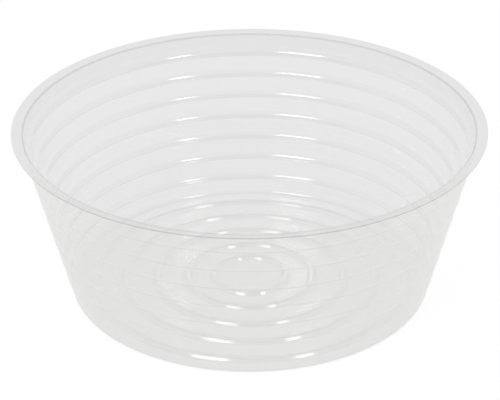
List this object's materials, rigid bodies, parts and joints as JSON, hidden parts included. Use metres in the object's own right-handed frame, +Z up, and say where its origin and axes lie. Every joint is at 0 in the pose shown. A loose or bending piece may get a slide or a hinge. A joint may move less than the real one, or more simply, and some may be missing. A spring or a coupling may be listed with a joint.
{
  "type": "deep plant saucer",
  "caption": "Deep round plant saucer of thin clear vinyl, with a flat rim flange, a tapering stepped wall and a floor whose round ridges hold a pot above the drained water.",
  "frame": {"origin": "middle of the flat underside", "axes": "+Z up along the axis that the saucer is round about; X and Y are level and interchangeable"},
  "size_m": [0.266, 0.266, 0.1005],
  "materials": {
    "clear_vinyl": "thin vacuum-formed sheet, see-through, smooth and glossy on both faces"
  },
  "bodies": {
    "root": {"saucer_shell": "clear_vinyl"}
  },
  "joints": []
}
